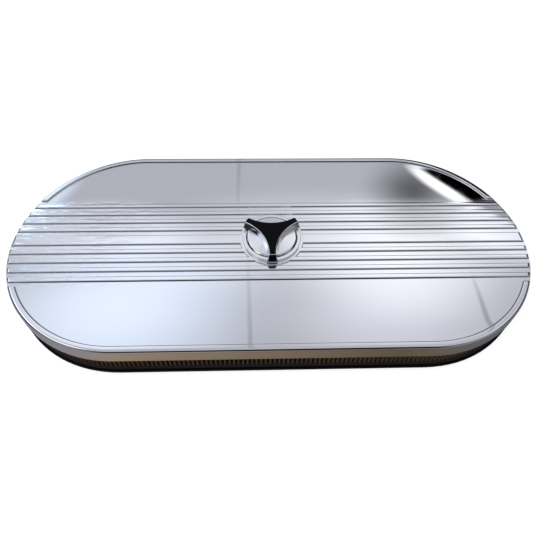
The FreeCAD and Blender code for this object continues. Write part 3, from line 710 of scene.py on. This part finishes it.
def flange_ring(nut, joint):
    """The profile of the flange and the spigot, a ring that ends under the bars.

    The flange's edge is bevelled at about 45 degrees, with both its corners
    rounded, and its top rises gently towards the bars.
    """
    disc_top = DISC_HIGH.z
    flange_top = disc_top + nut.flange_height
    saddle = flange_top + 0.3 * MM
    bore_wall = nut.bore + 0.3 * MM
    swage_top = NUT_LOW.z + nut.swage_height
    rim, rounded = nut.flange_radius, 0.15 * MM
    bevel_top = rim - nut.flange_bevel
    low, high = disc_top + nut.flange_edge, flange_top - rounded
    return points_along(
        (nut.bore, joint),
        (nut.bore, NUT_LOW.z),
        (nut.swage, NUT_LOW.z),
        (nut.swage, swage_top),
        (nut.spigot, swage_top),
        (nut.spigot, disc_top),
        (rim, disc_top),
        (rim, low),
        (rim - rounded / 3, low + rounded * 0.8),
        (rim - rounded, low + rounded * 1.6),
        (bevel_top + rounded, high - rounded),
        (bevel_top - rounded, high),
        (bevel_top - rounded * 4, high + rounded * 0.6),
        (nut.flange_flat, flange_top),
        (nut.flange_flat * 0.6, saddle),
        (bore_wall, saddle),
        (bore_wall, joint))


def top_fill(nut, top):
    """The net of the enamel in the nut's top, inside a bright edge and a hair proud."""
    rise = np.array([-0.015, 0.0, 0.03, 0.05]) * MM
    inset = nut.enamel_margin + np.array([0.0, 0.0, 0.05, 0.3]) * MM
    corners = np.full(len(rise), 0.12 * MM)
    return stacked(bar_outlines(nut, -inset, corners), top + rise)


class AIRCLEANER_OT_nut(bpy.types.Operator):
    """Build the three-bar nut with its flange, spigot and enamelled faces"""

    bl_idname = "aircleaner.nut"
    bl_label = "Three-Bar Nut"

    def execute(self, context):
        nut = context.scene.air_cleaner_nut
        top = NUT_HIGH.z
        bars, flange = bars_net(nut, top), turned(flange_ring(nut, top - nut.bar_height))
        piece = make_piece("three_bar_nut", [(bars, False, True), (flange, True, True)])
        place(piece, "nut", "plated_nut", finish(chromium_plate), "wing_nut")
        fills = [(top_fill(nut, top), False, True), *end_fills(nut, top)]
        place(make_piece("nut_enamel", fills), "nut", None, finish(gloss_black_enamel))
        return {"FINISHED"}


class AIRCLEANER_OT_disc(bpy.types.Operator):
    """Build the plated disc under the nut"""

    bl_idname = "aircleaner.disc"
    bl_label = "Nut Disc"

    def execute(self, context):
        nut = context.scene.air_cleaner_nut
        low, high = DISC_LOW.z, DISC_HIGH.z
        radius = DISC_HIGH.x
        edge = nut.disc_edge
        web = low + nut.disc_recess_depth
        soft = 0.15 * MM
        profile = points_along(
            (nut.disc_recess, low),
            arc((radius - soft, low + soft), soft, -90, 0, 3),
            arc((radius - edge, high - edge), edge, 0, 90, 8),
            (nut.disc_hole, high),
            (nut.disc_hole, web),
            (nut.disc_recess, web))
        piece = make_piece("plated_disc", [(turned(profile), True, True)])
        place(piece, "disc", "plated_nut", finish(chromium_plate), "nut_disc")
        return {"FINISHED"}


class AIRCLEANER_OT_stud(bpy.types.Operator):
    """Build the stud with its two threads"""

    bl_idname = "aircleaner.stud"
    bl_label = "Stud"

    def execute(self, context):
        """The thread is one surface of angle and height: its radius follows a
        triangle wave of height over pitch less angle over a turn, flattened
        at crest and root, and drops to the shank between the threads."""
        nut = context.scene.air_cleaner_nut
        low, high = STUD_LOW.z, STUD_HIGH.z
        crest = STUD_HIGH.x
        steps_a_turn, steps_a_pitch = 40, 10
        root, flank = 0.15, 0.7
        chamfer = 0.8 * MM
        angle = np.linspace(0, 2 * math.pi, steps_a_turn, endpoint=False)
        height = np.linspace(low, high, int((high - low) / nut.thread_pitch * steps_a_pitch))
        phase = height[:, None] / nut.thread_pitch - angle / (2 * math.pi)
        wave = np.abs((phase % 1.0) * 2 - 1)
        share = np.clip((wave - root) / flank, 0, 1)
        radius = nut.thread_core + (crest - nut.thread_core) * share
        into_shank = np.minimum(height - low - nut.end_thread, high - nut.top_thread - height)
        blend = np.clip(into_shank / nut.thread_pitch, 0, 1)[:, None]
        radius = radius * (1 - blend) + nut.shank * blend
        from_end = np.minimum(height - low, high - height)[:, None]
        radius = np.minimum(radius, crest - chamfer + from_end)
        net = stacked(radius[..., None] * directions(angle), height)
        piece = make_piece("threaded_stud", [(net, False, True)], weighted=False)
        place(piece, "housing", "steel", finish(zinc_plated_steel), "center_stud")
        return {"FINISHED"}


def pleat_net(element):
    """The net of one paper strip, folded all the way round the oval.

    At the folds the strip is an arc about a centre just inside the outer or
    the inner line, and between them it runs straight along the two arcs'
    common inner tangent.  A point is (way along the outer line, half width);
    the two faces lie half the paper's thickness along the normal.
    """
    outer = PLEATS_HIGH.y
    inner = outer - element.depth
    length = 2 * (2 * END_CENTRE + math.pi * outer)
    count = round(length / element.pitch)
    pitch = length / count
    r = element.fold_radius
    half_paper = element.paper / 2
    tip = outer - r - half_paper
    valley = inner + r + half_paper
    drop = tip - valley
    tilt = math.atan(pitch / 2 / drop) - math.asin(2 * r / math.hypot(pitch / 2, drop))
    steps = 6
    over = np.linspace(math.pi - tilt, tilt, steps)
    normal = directions(np.concatenate([over, over[::-1]]))
    side = np.concatenate([np.full(steps, 1.0), np.full(steps, -1.0)])[:, None]
    fold_centre = np.concatenate([
        np.tile([0.0, tip], (steps, 1)), np.tile([pitch / 2, valley], (steps, 1))])
    middle = fold_centre + side * r * normal
    # No two pleats stand alike: each leans and bows a little, at random
    random = np.random.default_rng(7)
    lean = random.normal(0, 0.09 * MM, (count, 1))
    bow = random.normal(0, 0.07 * MM, (count, 1))
    start = pitch * np.arange(count)[:, None]
    rows = np.linspace(PLEATS_LOW.z, PLEATS_HIGH.z, 7)
    up = np.concatenate([rows, rows[::-1]])
    face = np.concatenate([np.ones(len(rows)), -np.ones(len(rows))])
    level = (up - up.min()) / (up.max() - up.min())
    points = []
    for height, which, share in zip(up, face, level):
        local = middle + which * half_paper * normal
        outward = np.clip((local[:, 1] - inner) / element.depth, 0, 1)
        sway = lean * math.sin(math.pi * share) + bow * math.sin(2 * math.pi * share)
        way = (start + local[:, 0] + sway * outward).reshape(-1) % length
        half = np.tile(local[:, 1], count)
        straight = 2 * END_CENTRE
        bend = math.pi * outer
        part = way % (straight + bend)
        sign = np.where(way >= straight + bend, -1.0, 1.0)
        on_side = part < straight
        turn = np.where(on_side, -QUARTER, (part - straight) / outer - QUARTER)
        foot = np.where(on_side, part - END_CENTRE, END_CENTRE)
        x = sign * (foot + half * np.cos(turn))
        y = sign * half * np.sin(turn)
        points.append(np.column_stack([x, y, np.full(len(x), height)]))
    return np.stack(points, axis=1)


class AIRCLEANER_OT_pleats(bpy.types.Operator):
    """Fold the paper strip of the element"""

    bl_idname = "aircleaner.pleats"
    bl_label = "Pleated Paper"

    def execute(self, context):
        element = context.scene.air_cleaner_element
        piece = make_piece("pleated_paper", [(pleat_net(element), True, True)],
                           sharp=50.0, weighted=False)
        place(piece, "housing", "filter_paper", finish(resin_treated_paper), "filter_pleats")
        return {"FINISHED"}


class AIRCLEANER_OT_packed_parts(bpy.types.Operator):
    """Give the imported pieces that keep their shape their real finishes"""

    bl_idname = "aircleaner.packed_parts"
    bl_label = "Pan, Rubber and Steel"

    def execute(self, context):
        finishes = {
            "base_pan": stoved_black_enamel,
            "neck_gasket": moulded_rubber,
            "filter_bottom_seal": moulded_rubber,
            "filter_top_seal": moulded_rubber,
            "nut_washer": moulded_rubber,
            "filter_inner_screen": zinc_plated_steel,
            "nut_insert": zinc_plated_steel,
        }
        for name, draw in finishes.items():
            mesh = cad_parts[name].data
            mesh.materials.clear()
            mesh.materials.append(finish(draw))
        return {"FINISHED"}


def seen_directly(tree):
    """One for rays straight from the camera or through glass, zero for reflections."""
    rays = add(tree, "ShaderNodeLightPath")
    return add(tree, "ShaderNodeMath", {
        0: rays.outputs["Is Camera Ray"], 1: rays.outputs["Is Transmission Ray"]},
        operation="MAXIMUM")


def soft_oval(tree, ceiling, middle, half, angle, soft, low, high):
    """A value that rises from low outside an oval of the ceiling to high inside."""
    placed = add(tree, "ShaderNodeMapping", {
        "Vector": ceiling, "Location": (*middle, 0),
        "Rotation": (0, 0, math.radians(angle)), "Scale": (*half, 1)},
        vector_type="TEXTURE")
    ball = add(tree, "ShaderNodeTexGradient", {"Vector": placed}, gradient_type="SPHERICAL")
    return add(tree, "ShaderNodeMapRange", {
        "Value": ball.outputs["Fac"], "From Max": soft, "To Min": low, "To Max": high},
        interpolation_type="SMOOTHSTEP")


def light_world():
    """A soft studio: bright panels overhead that dim towards dark low walls.

    A direction is turned to a point (x / z, y / z) of a level ceiling, so a
    panel there is a round or oval patch with soft edges.
    """
    world = bpy.data.worlds.new("soft_studio")
    bpy.context.scene.world = world
    world.use_nodes = True
    tree = world.node_tree
    tree.nodes.clear()
    toward = add(tree, "ShaderNodeTexCoord").outputs["Generated"]
    parts = add(tree, "ShaderNodeSeparateXYZ", {0: toward})
    # Level and downward directions count as just above level, so that none is endless
    lowest = 0.02
    height = add(tree, "ShaderNodeMath", {0: parts.outputs["Z"], 1: lowest},
                 operation="MAXIMUM")
    ceiling = add(tree, "ShaderNodeCombineXYZ", {
        axis: add(tree, "ShaderNodeMath", {0: parts.outputs[axis], 1: height},
                  operation="DIVIDE")
        for axis in ("X", "Y")})
    # Sheets add light, and flags, with no colour, hold back what is there so far:
    # middle, half widths, turn in degrees, soft share, colour, strength or depth
    table = [
        # the ceiling, then the bright clouds over the front of the lid and its left end
        ((0.00, 0.20), (1.6, 1.60), 0, 0.3, "#F6F6FF", 0.56),
        ((-0.36, 0.56), (0.47, 0.32), 6, 0.95, "#D7EAFF", 0.70),
        ((0.44, 0.73), (0.42, 0.26), 3, 0.9, "#FFFFFC", 0.52),
        ((0.32, 0.55), (0.39, 0.22), 0, 1.0, "#FAF8FF", 0.36),
        ((0.07, 0.77), (0.61, 0.23), 5, 0.9, "#FFFFFF", 0.30),
        ((-0.79, 1.13), (0.28, 0.38), 0, 0.55, "#BFE3FF", 2.9),
        # low sheets round the studio, which light the upright walls
        ((-1.50, 0.45), (0.9, 0.75), 0, 0.45, "#EEF4FF", 1.1),
        ((-1.15, -0.40), (0.65, 0.60), 0, 0.4, "#FFF6EA", 0.9),
        ((1.50, -0.10), (0.9, 1.2), 0, 0.6, "#FFFCF6", 0.35),
        ((3.00, -2.60), (2.0, 2.0), 0, 0.5, "#FFFFFF", 0.5),
        ((-3.00, -2.60), (2.0, 2.0), 0, 0.5, "#F4F8FF", 0.5),
        ((3.20, 3.00), (2.0, 2.0), 0, 0.5, "#FFFFFF", 0.4),
        ((-3.20, 3.00), (2.0, 2.0), 0, 0.5, "#F4F8FF", 0.4),
        ((0.00, 4.20), (2.4, 2.4), 0, 0.4, "#F8FAFF", 0.22),
        # at the back right: a shade, a bright crescent and the black beside it
        ((0.48, 0.95), (0.18, 0.23), -32, 1.0, None, 0.75),
        ((0.565, 0.98), (0.16, 0.04), -50, 0.8, "#FFFFFF", 1.5),
        ((0.948, 1.31), (0.9, 0.5), -50, 0.04, None, 1.0),
        # faint light on the ribs
        ((0.87, 0.80), (0.36, 0.15), 0, 0.4, "#F4F4FA", 0.45),
        ((0.40, 0.87), (0.40, 0.06), 0, 0.6, "#FFFFFF", 0.22),
        ((-0.48, 0.80), (0.36, 0.14), 0, 0.5, "#F2F6FF", 0.26),
        # seams between the ceiling's sheets, and the dark behind the camera
        ((-0.062, 1.35), (0.012, 0.6), 0, 0.7, None, 0.24),
        ((-0.015, 0.25), (0.010, 0.6), 2, 0.7, None, 0.26),
        ((0.571, 0.50), (0.010, 0.19), 0, 0.7, None, 0.34),
        ((0.35, -2.65), (1.05, 1.80), 0, 0.12, None, 1.0),
    ]
    total = add(tree, "ShaderNodeCombineXYZ", dict(enumerate(linear("#38383C"))))
    for middle, half, angle, soft, colour, amount in table:
        if colour:
            share = soft_oval(tree, ceiling, middle, half, angle, soft, 0.0, amount)
            glow = add(tree, "ShaderNodeVectorMath", {0: linear(colour), "Scale": share},
                       operation="SCALE")
            total = add(tree, "ShaderNodeVectorMath", {0: total, 1: glow})
        else:
            share = soft_oval(tree, ceiling, middle, half, angle, soft, 1.0, 1 - amount)
            total = add(tree, "ShaderNodeVectorMath", {0: total, "Scale": share},
                        operation="SCALE")
    studio_light = add(tree, "ShaderNodeBackground", {"Color": total})
    white = add(tree, "ShaderNodeBackground", {"Color": (1, 1, 1, 1), "Strength": 1.0})
    mixed = add(tree, "ShaderNodeMixShader", {
        0: seen_directly(tree), 1: studio_light, 2: white})
    add(tree, "ShaderNodeOutputWorld", {"Surface": mixed})


def pale_floor(tree, colours):
    """Pale matt floor that reads white in the picture and keeps the shadow; in reflections its
    colour carries a painted falloff of light and shade.
    """
    # Painted light and shade: the floor's colour is darkest 90 mm to the right of the middle,
    # and paler to both sides, as if the light fell off to the right
    parts = add(tree, "ShaderNodeSeparateXYZ", {0: own_place(tree)})
    aside = add(tree, "ShaderNodeMath", {
        0: parts.outputs["X"], 1: 90 * MM}, operation="SUBTRACT")
    distance = add(tree, "ShaderNodeMath", {0: aside}, operation="ABSOLUTE")
    fall = add(tree, "ShaderNodeMapRange", {
        "Value": distance, "From Max": 210 * MM, "To Min": 0.5, "To Max": 1.2})
    # Towards the lid's ends the floor is grey
    reach = add(tree, "ShaderNodeMath", {0: parts.outputs["X"]}, operation="ABSOLUTE")
    ends = add(tree, "ShaderNodeMapRange", {
        "Value": reach, "From Min": 100 * MM, "From Max": 170 * MM})
    tone = add(tree, "ShaderNodeMix", {
        "Factor": ends, "A": opaque(colours.floor), "B": opaque(linear("#9C9DA2"))},
        data_type="RGBA")
    # Painted shade and light: the floor's own tone times the falloff above, seen only in
    # reflections
    floor_tone_with_painted_falloff = add(tree, "ShaderNodeVectorMath", {
        0: tone.outputs["Result"], "Scale": fall}, operation="SCALE")
    matt = add(tree, "ShaderNodeBsdfDiffuse", {"Color": floor_tone_with_painted_falloff})
    paper = add(tree, "ShaderNodeBsdfDiffuse", {"Color": (0.6, 0.6, 0.6, 1)})
    glow = add(tree, "ShaderNodeEmission", {"Color": (1, 1, 1, 1), "Strength": 0.72})
    white = add(tree, "ShaderNodeAddShader", {0: paper, 1: glow})
    return add(tree, "ShaderNodeMixShader", {0: seen_directly(tree), 1: matt, 2: white})


def place_camera(settings):
    """A camera that looks down on the lid at the fitted angles.

    The optical centre isn't the picture's middle, so the lens is shifted by
    the difference over the picture's width.
    """
    el, az, roll = settings.elevation, settings.azimuth, settings.roll
    back = Vector((
        math.sin(az) * math.cos(el), -math.cos(az) * math.cos(el), math.sin(el)))
    right = (-back).cross(Vector((0, 0, 1))).normalized()
    up = right.cross(-back)
    tilted_right = right * math.cos(roll) + up * math.sin(roll)
    tilted_up = up * math.cos(roll) - right * math.sin(roll)
    data = bpy.data.cameras.new("front_view")
    width = settings.picture_width
    data.lens = data.sensor_width * settings.focal_pixels / width
    data.shift_x = -(settings.centre[0] - width / 2) / width
    data.shift_y = (settings.centre[1] - width / 2) / width
    camera = bpy.data.objects.new("front_view", data)
    # The fitted axis passes 2.14 mm behind the middle of the rim's plane
    aim = Vector((-0.011 * MM, 2.141 * MM, RIM_TOP))
    rotation = Matrix((tilted_right, tilted_up, back)).transposed()
    stand = Matrix.Translation(aim + back * settings.distance)
    camera.matrix_world = stand @ rotation.to_4x4()
    bpy.context.scene.collection.objects.link(camera)
    bpy.context.scene.camera = camera


def lay_floor():
    """A square floor that reaches 4 m to each side."""
    reach = 4.0
    corners = [(-reach, -reach, 0), (reach, -reach, 0), (reach, reach, 0), (-reach, reach, 0)]
    mesh = bpy.data.meshes.new("floor")
    mesh.from_pydata(corners, [], [(0, 1, 2, 3)])
    mesh.materials.append(finish(pale_floor))
    floor = bpy.data.objects.new("floor", mesh)
    bpy.context.scene.collection.objects.link(floor)


def hang_softbox():
    """A softbox at the front left for the matt pieces; the metal doesn't mirror it."""
    lamp = bpy.data.lights.new("front_softbox", "AREA")
    lamp.shape = "RECTANGLE"
    lamp.size, lamp.size_y = 1.2, 0.8
    lamp.energy = 9.0
    softbox = bpy.data.objects.new("front_softbox", lamp)
    softbox.location = (-0.7, -1.0, 1.1)
    softbox.rotation_mode = "QUATERNION"
    softbox.rotation_quaternion = Vector(softbox.location).to_track_quat("Z", "Y")
    softbox.visible_glossy = False
    softbox.visible_camera = False
    bpy.context.scene.collection.objects.link(softbox)


class AIRCLEANER_OT_stage(bpy.types.Operator):
    """Set up the floor, the light and the camera"""

    bl_idname = "aircleaner.stage"
    bl_label = "Stage"

    def execute(self, context):
        context.scene.view_settings.view_transform = "Standard"
        place_camera(context.scene.air_cleaner_camera)
        light_world()
        lay_floor()
        hang_softbox()
        return {"FINISHED"}


class AIRCLEANER_PT_panel(bpy.types.Panel):
    """The pieces of the air cleaner, in the order in which they are made"""

    bl_idname = "AIRCLEANER_PT_panel"
    bl_label = "Air Cleaner"
    bl_space_type = "VIEW_3D"
    bl_region_type = "UI"
    bl_category = "Air Cleaner"

    def draw(self, context):
        for operator in OPERATORS:
            self.layout.operator(operator.bl_idname)


OPERATORS = (
    AIRCLEANER_OT_stage,
    AIRCLEANER_OT_packed_parts,
    AIRCLEANER_OT_pleats,
    AIRCLEANER_OT_lid,
    AIRCLEANER_OT_stud,
    AIRCLEANER_OT_disc,
    AIRCLEANER_OT_nut,
)
SETTINGS = {
    "air_cleaner_lid": LidSizes,
    "air_cleaner_ribs": RibSizes,
    "air_cleaner_element": ElementSizes,
    "air_cleaner_nut": NutSizes,
    "air_cleaner_colours": FinishColours,
    "air_cleaner_camera": CameraSettings,
}


def register():
    for name, group in SETTINGS.items():
        bpy.utils.register_class(group)
        setattr(bpy.types.Scene, name, PointerProperty(type=group))
    for operator in OPERATORS:
        bpy.utils.register_class(operator)
    bpy.utils.register_class(AIRCLEANER_PT_panel)


def unregister():
    bpy.utils.unregister_class(AIRCLEANER_PT_panel)
    for operator in reversed(OPERATORS):
        bpy.utils.unregister_class(operator)
    for name, group in reversed(SETTINGS.items()):
        delattr(bpy.types.Scene, name)
        bpy.utils.unregister_class(group)


def main():
    register()
    for operator in OPERATORS:
        group, name = operator.bl_idname.split(".")
        getattr(getattr(bpy.ops, group), name)()


if __name__ == "__main__":
    main()
